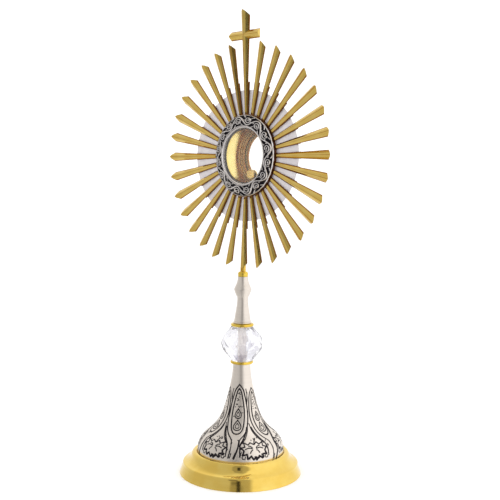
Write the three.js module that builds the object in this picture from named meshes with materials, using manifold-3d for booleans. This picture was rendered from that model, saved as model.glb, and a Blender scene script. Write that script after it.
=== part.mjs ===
// Monstrance: a turned base, an engraved bell foot, a stem with a crystal knop, and a
// sunburst of 32 rays around a glazed chamber that holds a large host behind a hinged door.
// Millimetres, +Z up. The origin is on the table under the stem, and the sunburst faces -Y.
import * as THREE from 'three';
import { ConvexGeometry } from 'three/addons/geometries/ConvexGeometry.js';
import { mergeVertices } from 'three/addons/utils/BufferGeometryUtils.js';
import Module from 'manifold-3d';

const wasm = await Module();
wasm.setup();

// ---- Driving dimensions ----
const GAP = 0.3; // clearance between touching pieces
const SUN_HEIGHT = 484.5; // centre of the window above the table

// stack of the foot and stem, from the table up
const PAD_THICKNESS = 2.2;
const BASE_RADIUS = 93.4;
const BASE_HEIGHT = 34.3;
const DECK_TOP = 28.3; // the bell stands on this web inside the base
const DECK_THICKNESS = 3.3;
const BELL_RADIUS = 66.1;
const BELL_TOP = 168.9;
const BELL_WALL = 2.2;
const KNOP_RING_RADIUS = 17.5;
const KNOP_RING_HEIGHT = 4.2;
const KNOP_HEIGHT = 52.6;
const KNOP_RADIUS = 32.6;
const KNOP_END_RADIUS = 16.8;
const KNOP_SIDES = 9;
const KNOP_TURN = -2.36; // direction of one corner, in radians
const KNOP_BORE = 7.0;
const SLEEVE_RADIUS = 6.6;
const STEM_HEIGHT = 71.1;
const COLLAR_RADIUS = 7.9;
const COLLAR_HEIGHT = 7.7;
const ROD_RADIUS = 4.0;
const ROD_BORE = 4.6;

// sunburst: N is the distance in front of the stem's axis
const RAY_COUNT = 32;
const RAY_STEP = (2 * Math.PI) / RAY_COUNT;
const RAY_BACK = -1.9;
const RAY_INNER = 63.0;
const RAY_CORNER = 161.7; // where the side edges end
const RAY_TIP = 170.3; // where the ridge ends
const RAY_HALF_WIDTH = 7.0; // at the side edges' ends
const RAY_DEPTH = 6.2; // ridge above the back, at the side edges' ends
const INNER_BEVEL = 2.5;
const CROSS_CORNER = 206.0;
const CROSS_TIP = 215.8;
const CROSS_LEAN = 0.024; // the cross leans forward a little, in radians
const BAR_CENTRE = 178.5;
const BAR_HALF_LENGTH = 29.6;
const BAR_HALF_HEIGHT = 6.7;
const BAR_LEAD = 0.9; // how far the bar's ridge runs past its edges
const BAR_DEPTH = 5.9;
const LAP = 2.2; // thickness that the upright keeps where the bar is let into it
const LAP_HALF_WIDTH = 8.5;
const STAR_FRONT = -2.2;
const STAR_BACK = -4.2;
const STAR_TIP = 110.0;
const HUB_INNER = 46.9;
const HUB_OUTER = 61.8;
const HUB_FRONT = -0.5;
const PLATE_FRONT = -4.5;
const PLATE_THICKNESS = 1.2;
const PLATE_HALF_WIDTH = 108.5;
const PLATE_HALF_HEIGHT = 98.4;
const PLATE_OFFSET = -4.0; // the oval plate sits a little to one side

// glazed chamber
const BEZEL_RADIUS = 61.1;
const WINDOW_RADIUS = 40.0;
const CASE_RADIUS = 44.0;
const CASE_WALL = 2.5;
const CASE_BACK = -31.7;
const CASE_FLANGE_RADIUS = 52.0;
const SEAT_FRONT = -32.0;
const SEAT_BACK = -38.8;
const SEAT_RADIUS = 48.0;
const SEAT_OPENING = 37.7;
const DOOR_BACK = -43.4;
const DOOR_OPENING = 34.4;
const HINGE_X = 52.5;
const HINGE_N = -41.2;
const HINGE_PIN_RADIUS = 1.0;
const KNUCKLE_RADIUS = 2.4;
const KNUCKLE_HALF = 5.0; // half length of the door's own knuckle
const HINGE_HALF = 14.0;
const STRAP_INNER = 44.5; // the hinge straps start inside the rings they belong to
const STRAP_THICKNESS = 2.4;
const REBATE_RADIUS = 39.9; // the door glass sits in this step
const REBATE_BACK = -41.0;
const KNOB_X = -43.4;
const KNOB_LENGTH = 6.2;
const CLIP_Y = -26.0; // centre of the clip's discs below the window's centre
const CLIP_RADIUS = 6.7;
const CLIP_FRONT = -12.0;
const CLIP_DISC_THICKNESS = 2.0;
const CLIP_REAR_DISC = -16.0;
const CLIP_SPINDLE_RADIUS = 1.3;

// segments of round pieces
const ROUND_LARGE = 36;
const ROUND_MEDIUM = 24;
const ROUND_SMALL = 16;

// ---- Finishes ----
const finish = (color, roughness, metalness, extra = {}) =>
  new THREE.MeshStandardMaterial({ color, roughness, metalness, ...extra });
const gold = () => finish(0xcaa23c, 0.25, 1.0);
const brownGold = () => finish(0x8a6128, 0.35, 1.0);
const satinSilver = () => finish(0xc9c0b8, 0.38, 1.0);
const antiqueSilver = () => finish(0x8f8c8a, 0.42, 1.0);
const plateSilver = () => finish(0xc4bfc6, 0.45, 0.9);
const steel = () => finish(0x8c8f92, 0.4, 1.0);
const felt = () => finish(0x3a1216, 0.95, 0.0);
const clear = () => finish(0xf2f6f8, 0.03, 0.0, { transparent: true, opacity: 0.3 });

// ---- Helpers ----
const scene = new THREE.Group();

function addMesh(parent, name, geometry, material) {
  const mesh = new THREE.Mesh(geometry, material);
  mesh.name = name;
  parent.add(mesh);
  return mesh;
}

const vectors = (pairs) => pairs.map(([x, y]) => new THREE.Vector2(x, y));

// A body of revolution about Z from [radius, height] points that go round anticlockwise.
function turned(pairs, segments) {
  const points = vectors(pairs);
  const open = pairs[0][0] === 0 && pairs[pairs.length - 1][0] === 0;
  if (!open) points.push(points[0].clone());
  return new THREE.LatheGeometry(points, segments).rotateX(Math.PI / 2);
}

const ring = (inner, outer, low, high, segments) =>
  turned([[inner, low], [outer, low], [outer, high], [inner, high]], segments);

const disc = (radius, low, high, segments) =>
  turned([[0, low], [radius, low], [radius, high], [0, high]], segments);

// Points on a smooth curve through the given ones.
const smooth = (pairs, count) =>
  new THREE.SplineCurve(vectors(pairs)).getPoints(count).map((p) => [p.x, p.y]);

function toManifold(geometry) {
  const bare = geometry.clone();
  bare.deleteAttribute('normal');
  bare.deleteAttribute('uv');
  const merged = mergeVertices(bare, 1e-4);
  const index = merged.index.array;
  const triVerts = [];
  for (let i = 0; i < index.length; i += 3) {
    const [a, b, c] = [index[i], index[i + 1], index[i + 2]];
    if (a !== b && b !== c && c !== a) triVerts.push(a, b, c);
  }
  return new wasm.Manifold(
    new wasm.Mesh({
      numProp: 3,
      vertProperties: new Float32Array(merged.attributes.position.array),
      triVerts: new Uint32Array(triVerts),
    }),
  );
}

function toGeometry(manifold) {
  const mesh = manifold.getMesh();
  const geometry = new THREE.BufferGeometry();
  geometry.setAttribute('position', new THREE.BufferAttribute(mesh.vertProperties, 3));
  geometry.setIndex(new THREE.BufferAttribute(mesh.triVerts, 1));
  return geometry;
}

const joined = (...geometries) =>
  toGeometry(geometries.map(toManifold).reduce((sum, next) => sum.add(next)));

const cut = (...geometries) =>
  toGeometry(geometries.map(toManifold).reduce((rest, tool) => rest.subtract(tool)));

const box = (x, y, z, cx = 0, cy = 0, cz = 0) =>
  new THREE.BoxGeometry(x, y, z).translate(cx, cy, cz);

// ---- Foot ----
const deckBottom = DECK_TOP - DECK_THICKNESS;

function baseFoot() {
  const wall = smooth([[BASE_RADIUS, 0], [90.6, 7.2], [88.6, 13.5], [88.2, 16.8]], 3);
  const cove = smooth([[87.2, 17.7], [82.6, 19.8], [78.6, 22.8], [76.2, 25.6]], 3);
  const torus = smooth([[75.7, 27.2], [74.2, 31], [71.6, 33.6], [69, BASE_HEIGHT]], 3);
  const lip = [[66.8, 33.2], [66.6, DECK_TOP], [ROD_BORE, DECK_TOP], [ROD_BORE, deckBottom]];
  const inside = [[70.5, deckBottom], [77.5, 18.5], [85, 14], [86.5, 9], [90.3, 0]];
  return turned([...wall, ...cove, ...torus, ...lip, ...inside], ROUND_LARGE);
}

function bellFoot() {
  const foot = DECK_TOP + GAP;
  const outline = [
    [65.9, foot], [BELL_RADIUS, 39], [63.5, 49.8], [56.6, 59.2], [46.3, 68.6], [37.9, 77.8],
    [29.6, 92], [22.1, 115.4], [15.9, 143.4], [13.8, 160], [13.6, BELL_TOP],
  ];
  const web = 3.5; // thickness of the closed top
  const outside = smooth(outline, 14);
  const inside = smooth(outline.slice(0, -1), 7)
    .reverse()
    .map(([r, z]) => [r - BELL_WALL, z]);
  const top = [[ROD_BORE, BELL_TOP], [ROD_BORE, BELL_TOP - web], [11.4, BELL_TOP - web]];
  return turned([...outside, ...top, ...inside], ROUND_LARGE);
}

addMesh(scene, 'base_foot', baseFoot(), gold());
addMesh(scene, 'base_pad', disc(88.6, 0, PAD_THICKNESS, ROUND_LARGE), felt());
addMesh(scene, 'bell_foot', bellFoot(), satinSilver());

// ---- Stem ----
const lowerRing = BELL_TOP + GAP;
const knopLow = lowerRing + KNOP_RING_HEIGHT + GAP;
const knopHigh = knopLow + KNOP_HEIGHT;
const upperRing = knopHigh + GAP;
const stemLow = upperRing + KNOP_RING_HEIGHT + GAP;
const collarLow = stemLow + STEM_HEIGHT + GAP;
const collarHigh = collarLow + COLLAR_HEIGHT;

function knopRing() {
  const high = KNOP_RING_HEIGHT;
  const round = [[16.2, 0], [17.2, 0.8], [KNOP_RING_RADIUS, high / 2], [17.2, 3.4], [16.2, high]];
  return turned([[ROD_BORE, 0], ...smooth(round, 6), [ROD_BORE, high]], ROUND_MEDIUM);
}

// Cut crystal: a band of upright lozenges around the middle, with long facets above and below.
function crystalKnop() {
  const middle = KNOP_HEIGHT / 2 + 0.5;
  const flat = 9.0; // half height of a lozenge
  const waist = KNOP_RADIUS * Math.cos(Math.PI / KNOP_SIDES);
  const points = [];
  const at = (r, angle, z) =>
    points.push(new THREE.Vector3(r * Math.cos(angle), r * Math.sin(angle), z));
  for (let i = 0; i < KNOP_SIDES; i += 1) {
    const corner = KNOP_TURN + ((2 * Math.PI) / KNOP_SIDES) * i;
    const between = corner + Math.PI / KNOP_SIDES;
    at(KNOP_RADIUS, corner, middle);
    at(waist, between, middle + flat);
    at(waist, between, middle - flat);
    at(KNOP_END_RADIUS, corner, KNOP_HEIGHT);
    at(KNOP_END_RADIUS, corner, 0);
  }
  return cut(new ConvexGeometry(points), disc(KNOP_BORE, -1, KNOP_HEIGHT + 1, ROUND_MEDIUM));
}

function balusterStem() {
  const foot = [[13.6, 0], [14.0, 1.0], [13.7, 2.6], [12.9, 3.6]];
  const taper = smooth([[12.3, 6.5], [11.0, 14.4], [9.5, 23.7], [8.5, 32.5], [8.4, 38.6]], 5);
  const bulge = [[10.1, 42.0], [11.9, 46.6], [13.0, 50.6], [13.1, 52.4], [12.4, 54.8]];
  const neck = [[10.0, 60.3], [8.5, 65.0], [7.9, 68.6], [7.7, STEM_HEIGHT]];
  const outside = [...foot, ...taper, ...bulge, ...neck];
  return turned([[ROD_BORE, 0], ...outside, [ROD_BORE, STEM_HEIGHT]], ROUND_MEDIUM);
}

function stemCollar(bore) {
  const crown = [[COLLAR_RADIUS, 4.2], [7.5, 5.8], [6.4, 7.1], [5.2, COLLAR_HEIGHT]];
  return turned([[bore, 0], [COLLAR_RADIUS, 0], ...crown, [bore, COLLAR_HEIGHT]], ROUND_MEDIUM);
}

addMesh(scene, 'lower_knop_ring', knopRing(), gold()).position.z = lowerRing;
addMesh(scene, 'crystal_knop', crystalKnop(), clear()).position.z = knopLow;
const sleeve = ring(ROD_BORE, SLEEVE_RADIUS, GAP, KNOP_HEIGHT - GAP, ROUND_SMALL);
addMesh(scene, 'knop_sleeve', sleeve, satinSilver()).position.z = knopLow;
addMesh(scene, 'upper_knop_ring', knopRing(), gold()).position.z = upperRing;
addMesh(scene, 'stem_baluster', balusterStem(), satinSilver()).position.z = stemLow;

const SPIGOT_RADIUS = 3.3;
addMesh(scene, 'stem_collar', stemCollar(SPIGOT_RADIUS + GAP), gold()).position.z = collarLow;

// ---- Tie rod under the stack ----
const ROD_LOW = 11.0;
const NUT_HEIGHT = 6.5;
const WASHER_THICKNESS = 3.0;
const washerLow = deckBottom - GAP - WASHER_THICKNESS;
const nutLow = washerLow - GAP - NUT_HEIGHT;
const rodHigh = stemLow + 60;
addMesh(scene, 'tie_rod', disc(ROD_RADIUS, ROD_LOW, rodHigh, ROUND_SMALL), steel());
const washer = ring(ROD_BORE, 14, washerLow, washerLow + WASHER_THICKNESS, ROUND_MEDIUM);
addMesh(scene, 'tie_washer', washer, steel());
const nutHole = disc(ROD_RADIUS + GAP, nutLow - 1, washerLow, ROUND_SMALL);
addMesh(scene, 'tie_nut', cut(disc(8.2, nutLow, nutLow + NUT_HEIGHT, 6), nutHole), steel());

// ---- Forked tang that carries the sunburst ----
// Its top is cut parallel to the slanted end of the lowest ray.
function sunTang() {
  const halfWidth = 3.6;
  const halfDepth = 2.6;
  const low = collarHigh + GAP;
  const slope = (RAY_TIP - RAY_CORNER) / RAY_DEPTH;
  const endAt = (y) => SUN_HEIGHT - RAY_CORNER - slope * (-RAY_BACK - y) - 2 * GAP;
  const side = new THREE.Shape(
    vectors([
      [-halfDepth, low],
      [halfDepth, low],
      [halfDepth, endAt(halfDepth)],
      [-halfDepth, endAt(-halfDepth)],
    ]),
  );
  const bar = new THREE.ExtrudeGeometry(side, { depth: 2 * halfWidth, bevelEnabled: false });
  bar.rotateX(Math.PI / 2).rotateZ(Math.PI / 2).translate(-halfWidth, 0, 0);
  const spigot = disc(SPIGOT_RADIUS, collarLow + 0.5, low + 1, ROUND_SMALL);
  const groove = box(1.6, 2.0, 40, 0, -halfDepth, low + 22);
  return cut(joined(bar, spigot), groove);
}

// ---- Sunburst ----
const sun = new THREE.Group();
sun.position.z = SUN_HEIGHT;
sun.rotation.x = Math.PI / 2; // local Y is up and local Z faces the front
scene.add(sun);

const SECTION = [[-1, 0], [1, 0], [1, 0.1], [0.25, 0.82], [0, 1], [-0.25, 0.82], [-1, 0.1]];

// A bar of V section along Y whose width and depth grow in step with the distance from the
// centre, so every face stays flat. The ridge runs past the corners at the outer end.
function taperedRay(inner, corner, tip) {
  const shape = new THREE.Shape(vectors(SECTION));
  const geometry = new THREE.ExtrudeGeometry(shape, { depth: 1, bevelEnabled: false });
  const position = geometry.attributes.position;
  for (let i = 0; i < position.count; i += 1) {
    const across = position.getX(i);
    const rise = position.getY(i);
    const outer = position.getZ(i) > 0.5;
    const along = outer ? corner + rise * (tip - corner) : inner + rise * INNER_BEVEL;
    const scale = along / RAY_CORNER;
    position.setXYZ(i, -across * RAY_HALF_WIDTH * scale, along, rise * RAY_DEPTH * scale);
  }
  return geometry;
}

function crossBar() {
  const shape = new THREE.Shape(vectors(SECTION));
  const geometry = new THREE.ExtrudeGeometry(shape, { depth: 1, bevelEnabled: false });
  const position = geometry.attributes.position;
  for (let i = 0; i < position.count; i += 1) {
    const rise = position.getY(i);
    const side = position.getZ(i) > 0.5 ? 1 : -1;
    const along = side * (BAR_HALF_LENGTH + rise * BAR_LEAD);
    const across = position.getX(i) * BAR_HALF_HEIGHT;
    position.setXYZ(i, along, BAR_CENTRE + across, rise * BAR_DEPTH);
  }
  return geometry;
}

for (let k = 1; k < RAY_COUNT; k += 1) {
  const name = `ray_${String(k).padStart(2, '0')}`;
  const ray = addMesh(sun, name, taperedRay(RAY_INNER, RAY_CORNER, RAY_TIP), gold());
  ray.position.z = RAY_BACK;
  ray.rotation.z = -k * RAY_STEP;
}

// The upright of the cross is the top ray. It and the bar are let into each other, so that
// their ridges are at about the same height.
const cross = new THREE.Group();
cross.position.set(0, RAY_INNER, RAY_BACK);
cross.rotation.x = CROSS_LEAN;
sun.add(cross);
const notchHeight = 2 * (BAR_HALF_HEIGHT + GAP);
const notch = box(40, notchHeight, 40, 0, BAR_CENTRE, LAP + 20);
const barLap = box(2 * LAP_HALF_WIDTH, 40, 2 * (LAP + GAP), 0, BAR_CENTRE, 0);
const upright = cut(taperedRay(RAY_INNER, CROSS_CORNER, CROSS_TIP), notch);
addMesh(cross, 'cross_ray', upright, gold()).position.y = -RAY_INNER;
addMesh(cross, 'cross_bar', cut(crossBar(), barLap), gold()).position.y = -RAY_INNER;

// Second layer: a hub ring with a short flat arm behind every ray.
function rearRayStar() {
  const innerHalf = 3.1;
  const outerHalf = 5.2;
  const start = HUB_OUTER - 3;
  const outline = vectors([
    [-innerHalf, start],
    [innerHalf, start],
    [outerHalf, STAR_TIP],
    [-outerHalf, STAR_TIP],
  ]);
  const options = { depth: STAR_FRONT - STAR_BACK, bevelEnabled: false };
  const arm = new THREE.ExtrudeGeometry(new THREE.Shape(outline), options);
  arm.translate(0, 0, STAR_BACK);
  const arms = [];
  for (let k = 0; k < RAY_COUNT; k += 1) arms.push(arm.clone().rotateZ(-k * RAY_STEP));
  return joined(ring(HUB_INNER, HUB_OUTER, STAR_BACK, HUB_FRONT, ROUND_LARGE), ...arms);
}

function backingPlate() {
  const shape = new THREE.Shape();
  shape.absellipse(PLATE_OFFSET, 0, PLATE_HALF_WIDTH, PLATE_HALF_HEIGHT, 0, 2 * Math.PI);
  const hole = new THREE.Path();
  hole.absarc(0, 0, HUB_INNER, 0, 2 * Math.PI);
  shape.holes.push(hole);
  const options = { depth: PLATE_THICKNESS, bevelEnabled: false, curveSegments: 48 };
  return new THREE.ExtrudeGeometry(shape, options).translate(0, 0, PLATE_FRONT - PLATE_THICKNESS);
}

addMesh(sun, 'rear_ray_star', rearRayStar(), gold());
addMesh(sun, 'backing_plate', backingPlate(), plateSilver());
addMesh(scene, 'sun_tang', sunTang(), gold());

// ---- Chamber ----
function bezelRing() {
  const back = HUB_FRONT + GAP;
  const edge = [[BEZEL_RADIUS, back], [BEZEL_RADIUS, 1.4], [60.3, 2.6]];
  const dome = [[58.8, 3.4], [55.5, 4.8], [51.5, 5.8], [47.4, 6.2]];
  const innerRim = [[45.6, 6.9], [44.6, 6.6], [43.4, 4.4], [42.4, 4.1], [40.9, 1.4]];
  const window = [[WINDOW_RADIUS, 0.9], [WINDOW_RADIUS, back]];
  return turned([...edge, ...dome, ...innerRim, ...window], ROUND_LARGE);
}

const screwHole = (radius, low, high) =>
  disc(radius, low, high, ROUND_SMALL).rotateX(-Math.PI / 2);

const caseOuter = CASE_RADIUS + CASE_WALL;
const clipCentreN = CLIP_REAR_DISC - 1.5; // the pedestal stands under the rear disc
const CLIP_SCREW_RADIUS = 1.3;

function lunaCase() {
  const flangeFront = PLATE_FRONT - PLATE_THICKNESS - GAP;
  const flangeBack = flangeFront - 1.8;
  const tube = turned(
    [
      [CASE_RADIUS, CASE_BACK], [caseOuter, CASE_BACK], [caseOuter, flangeBack],
      [CASE_FLANGE_RADIUS, flangeBack], [CASE_FLANGE_RADIUS, flangeFront],
      [caseOuter, flangeFront], [caseOuter, HUB_FRONT], [CASE_RADIUS, HUB_FRONT],
    ],
    ROUND_LARGE,
  );
  const hole = screwHole(CLIP_SCREW_RADIUS + GAP, -caseOuter - 2, -CASE_RADIUS + 2);
  return cut(tube, hole.translate(0, 0, clipCentreN));
}

const GLASS_RADIUS = CASE_RADIUS - 0.5;
const glassFront = HUB_FRONT - 0.1;
const GLASS_THICKNESS = 2.0;
const retainerFront = glassFront - GLASS_THICKNESS - GAP;

// A cylinder about the hinge's vertical axis.
const onHinge = (radius, low, high) =>
  disc(radius, low, high, ROUND_SMALL).rotateX(-Math.PI / 2).translate(HINGE_X, 0, HINGE_N);

// A knuckle with a strap that ties it to the ring beside it.
function knuckle(low, high, strapMiddle, strapThickness) {
  const strap = box(
    HINGE_X - STRAP_INNER, high - low, strapThickness,
    (HINGE_X + STRAP_INNER) / 2, (low + high) / 2, strapMiddle,
  );
  return [onHinge(KNUCKLE_RADIUS, low, high), strap];
}

const pinHole = () => onHinge(HINGE_PIN_RADIUS + GAP, -HINGE_HALF - 2, HINGE_HALF + 2);

function doorSeat() {
  const body = turned(
    [
      [SEAT_OPENING, SEAT_BACK], [SEAT_RADIUS, SEAT_BACK], [SEAT_RADIUS, SEAT_FRONT],
      [CASE_RADIUS, SEAT_FRONT], [41.5, SEAT_FRONT - 1.5], [41.5, SEAT_FRONT - 3.6],
      [SEAT_OPENING, SEAT_BACK + 1.4],
    ],
    ROUND_LARGE,
  );
  const inner = KNUCKLE_HALF + GAP;
  const strapMiddle = SEAT_BACK + STRAP_THICKNESS / 2;
  const upper = knuckle(inner, HINGE_HALF, strapMiddle, STRAP_THICKNESS);
  const lower = knuckle(-HINGE_HALF, -inner, strapMiddle, STRAP_THICKNESS);
  const webs = [1, -1].map((side) =>
    box(
      2 * KNUCKLE_RADIUS, HINGE_HALF - inner, STRAP_THICKNESS + 0.2,
      HINGE_X, (side * (HINGE_HALF + inner)) / 2, SEAT_BACK - 0.2,
    ),
  );
  return cut(joined(body, ...upper, ...lower, ...webs), pinHole());
}

const doorFront = SEAT_BACK - GAP;

function doorFrame() {
  const body = turned(
    [
      [DOOR_OPENING, DOOR_BACK], [46.4, DOOR_BACK], [47.6, DOOR_BACK + 1.2], [47.6, doorFront],
      [REBATE_RADIUS, doorFront], [REBATE_RADIUS, REBATE_BACK], [37.7, REBATE_BACK],
      [DOOR_OPENING, REBATE_BACK - 1.0],
    ],
    ROUND_LARGE,
  );
  const lug = knuckle(-KNUCKLE_HALF, KNUCKLE_HALF, HINGE_N, STRAP_THICKNESS + 0.4);
  return cut(joined(body, ...lug), pinHole());
}

function doorKnob() {
  const high = DOOR_BACK - GAP;
  const low = high - KNOB_LENGTH;
  const button = [[0, low], [3.0, low], [3.8, low + 1.2], [3.4, low + 3]];
  const neck = [[1.8, low + 4], [2.2, high], [0, high]];
  return turned([...button, ...neck], ROUND_SMALL).translate(KNOB_X, 0, 0);
}

// ---- Host clip ----
const clipFloor = -CASE_RADIUS + 0.8;

// A cylinder about the axis that the clip's discs share.
const onClip = (radius, low, high) => disc(radius, low, high, ROUND_SMALL).translate(0, CLIP_Y, 0);

function clipBase() {
  const rear = CLIP_REAR_DISC;
  const rearDisc = onClip(CLIP_RADIUS, rear - CLIP_DISC_THICKNESS, rear);
  const guide = onClip(2.6, rear - 4.5, rear - 1);
  const bore = onClip(CLIP_SPINDLE_RADIUS + GAP, rear - 9, rear + 1);
  const foot = [[0, clipFloor], [6, clipFloor], [6, clipFloor + 2], [3.4, clipFloor + 5]];
  const pedestal = turned([...foot, [2.4, CLIP_Y - 5], [0, CLIP_Y - 5]], ROUND_SMALL);
  pedestal.rotateX(-Math.PI / 2).translate(0, 0, clipCentreN);
  const screw = screwHole(CLIP_SCREW_RADIUS + GAP, clipFloor - 1, clipFloor + 4);
  screw.translate(0, 0, clipCentreN);
  return cut(joined(rearDisc, pedestal, guide), bore, screw);
}

function clipDisc() {
  const back = CLIP_FRONT - CLIP_DISC_THICKNESS;
  const tail = CLIP_REAR_DISC - 10;
  const profile = [
    [0, tail], [2.4, tail], [2.4, tail + 1.6], [CLIP_SPINDLE_RADIUS, tail + 1.6],
    [CLIP_SPINDLE_RADIUS, back], [CLIP_RADIUS, back], [CLIP_RADIUS, CLIP_FRONT],
    [CLIP_RADIUS - 1.1, CLIP_FRONT], [CLIP_RADIUS - 1.7, CLIP_FRONT - 0.7], [0, CLIP_FRONT - 0.7],
  ];
  return turned(profile, ROUND_SMALL).translate(0, CLIP_Y, 0);
}

function clipScrew() {
  const headTop = -caseOuter - GAP;
  const profile = [
    [0, headTop - 1.6], [2.6, headTop - 1.6], [2.6, headTop], [CLIP_SCREW_RADIUS, headTop],
    [CLIP_SCREW_RADIUS, clipFloor + 3.5], [0, clipFloor + 3.5],
  ];
  return turned(profile, ROUND_SMALL).rotateX(-Math.PI / 2).translate(0, 0, clipCentreN);
}

addMesh(sun, 'bezel_ring', bezelRing(), antiqueSilver());
const pane = disc(GLASS_RADIUS, glassFront - GLASS_THICKNESS, glassFront, ROUND_LARGE);
addMesh(sun, 'front_glass', pane, clear());
const retainer = ring(41.4, GLASS_RADIUS, retainerFront - 1.8, retainerFront, ROUND_LARGE);
addMesh(sun, 'glass_retainer', retainer, gold());
addMesh(sun, 'luna_case', lunaCase(), gold());
addMesh(sun, 'door_seat', doorSeat(), brownGold());
addMesh(sun, 'door_frame', doorFrame(), brownGold());
const doorPane = disc(REBATE_RADIUS - GAP, REBATE_BACK + GAP, doorFront - 0.2, ROUND_LARGE);
addMesh(sun, 'door_glass', doorPane, clear());
addMesh(sun, 'door_hinge_pin', onHinge(HINGE_PIN_RADIUS, -HINGE_HALF, HINGE_HALF), steel());
addMesh(sun, 'door_knob', doorKnob(), gold());
addMesh(sun, 'clip_base', clipBase(), gold());
addMesh(sun, 'clip_disc', clipDisc(), gold());
addMesh(sun, 'clip_screw', clipScrew(), gold());

export default scene;
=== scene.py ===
"""Monstrance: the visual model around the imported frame. Lengths are in millimetres up to MM."""

import math

import bpy
import bmesh
import numpy as np
from mathutils import Matrix, Vector


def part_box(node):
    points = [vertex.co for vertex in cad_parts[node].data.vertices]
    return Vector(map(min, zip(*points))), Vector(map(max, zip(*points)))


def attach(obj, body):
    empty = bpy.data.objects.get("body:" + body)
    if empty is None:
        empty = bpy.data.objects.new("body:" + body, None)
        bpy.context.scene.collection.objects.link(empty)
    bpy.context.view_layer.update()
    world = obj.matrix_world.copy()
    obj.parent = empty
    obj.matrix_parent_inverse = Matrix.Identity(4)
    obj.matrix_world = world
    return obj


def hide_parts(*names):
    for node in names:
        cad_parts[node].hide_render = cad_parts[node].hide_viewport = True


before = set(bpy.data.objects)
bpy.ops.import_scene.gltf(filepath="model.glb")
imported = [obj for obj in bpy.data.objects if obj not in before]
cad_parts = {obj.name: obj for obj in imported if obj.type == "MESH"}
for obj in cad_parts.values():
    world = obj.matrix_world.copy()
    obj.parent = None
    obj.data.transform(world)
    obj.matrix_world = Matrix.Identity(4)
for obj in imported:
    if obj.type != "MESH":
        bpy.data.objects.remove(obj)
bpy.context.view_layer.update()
MM = 0.001


def low(node):
    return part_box(node)[0] / MM


def high(node):
    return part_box(node)[1] / MM


def centre(node):
    return (low(node) + high(node)) / 2


# ---- Driving values ----
CAMERA_AZIMUTH = math.radians(-45.14)  # direction of the camera seen from the stem
SUN_Z = centre("bezel_ring").z
RAY_COUNT = 32
RAY_STEP = 2 * math.pi / RAY_COUNT
RAY_BACK = -1.9
RAY_INNER = 63.0
RAY_CORNER = 161.7
RAY_TIP = 170.3
RAY_HALF_WIDTH = 7.0
RAY_DEPTH = 6.2
CROSS_CORNER = 206.0
CROSS_TIP = 215.8
CROSS_LEAN = 0.024
BAR_CENTRE = 178.5
BAR_HALF_LENGTH = 29.6
BAR_HALF_HEIGHT = 6.7
BAR_LEAD = 0.9
BAR_DEPTH = 5.9
CASE_BACK = -31.7
SEAT_FRONT = -32.0
SEAT_BACK = -38.8
DOOR_BACK = -43.4
REBATE_BACK = -41.0
HINGE_X = centre("door_hinge_pin").x
HINGE_N = -centre("door_hinge_pin").y
ROUND = 160  # segments of large turned pieces
ROUND_SMALL = 64
CASE_INNER = 44.0
CASE_OUTER = 46.5
PANE_RADIUS = 43.5
PLATE_BORE = 46.9
ROD_BORE = 4.6
CLIP_POST_N = -17.5  # the clip's post stands this far behind the sunburst's plane
UPRIGHT = Matrix.Rotation(-math.pi / 2, 4, "X")  # stands a turned piece up in that plane


# ---- Mesh helpers ----
def linked(name, data):
    obj = bpy.data.objects.new(name, data)
    bpy.context.scene.collection.objects.link(obj)
    return obj


def make_object(name, verts, faces, material, matrix=None, sharp=32.0):
    """A smooth-shaded mesh with hard edges kept, from millimetre vertices."""
    mesh = bpy.data.meshes.new(name)
    corners = [tuple(v) for v in np.asarray(verts, float) * MM]
    mesh.from_pydata(corners, [], [list(map(int, f)) for f in faces])
    mesh.validate()
    obj = linked(name, mesh)
    work = bmesh.new()
    work.from_mesh(mesh)
    bmesh.ops.recalc_face_normals(work, faces=work.faces)
    work.to_mesh(mesh)
    work.free()
    mesh.polygons.foreach_set("use_smooth", [True] * len(mesh.polygons))
    mesh.set_sharp_from_angle(angle=math.radians(sharp))
    for m in material if isinstance(material, (list, tuple)) else [material]:
        mesh.materials.append(m)
    if matrix is not None:
        obj.matrix_world = matrix
    return obj


def stand_in(obj, body, slot, *nodes):
    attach(obj, body)
    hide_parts(*nodes)
    return obj


def write_attribute(obj, name, values):
    """One number for each vertex, which the materials read."""
    mark = obj.data.attributes.new(name, "FLOAT", "POINT")
    mark.data.foreach_set("value", np.asarray(values, np.float32))


def spline(points, count):
    """Points along a Catmull-Rom curve through the given ones."""
    p = np.asarray(points, float)
    p = np.vstack([2 * p[0] - p[1], p, 2 * p[-1] - p[-2]])
    out = []
    per = max(2, count // (len(p) - 3))
    for i in range(1, len(p) - 2):
        for t in np.linspace(0, 1, per, endpoint=False):
            a, b, c, d = p[i - 1], p[i], p[i + 1], p[i + 2]
            out.append(0.5 * (2 * b + (c - a) * t + (2 * a - 5 * b + 4 * c - d) * t ** 2
                              + (3 * b - a - 3 * c + d) * t ** 3))
    out.append(p[-2])
    return [tuple(q) for q in out]


def line_distance(u, v, points):
    """How far each place lies from the line through the points."""
    best = np.full(u.shape, 1e9)
    for (x0, y0), (x1, y1) in zip(points[:-1], points[1:]):
        dx, dy = x1 - x0, y1 - y0
        t = np.clip(((u - x0) * dx + (v - y0) * dy) / max(dx * dx + dy * dy, 1e-9), 0, 1)
        best = np.minimum(best, np.hypot(u - x0 - t * dx, v - y0 - t * dy))
    return best


def oblong(x0, x1, y0, y1):
    return [(x0, y0), (x1, y0), (x1, y1), (x0, y1)]


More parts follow.
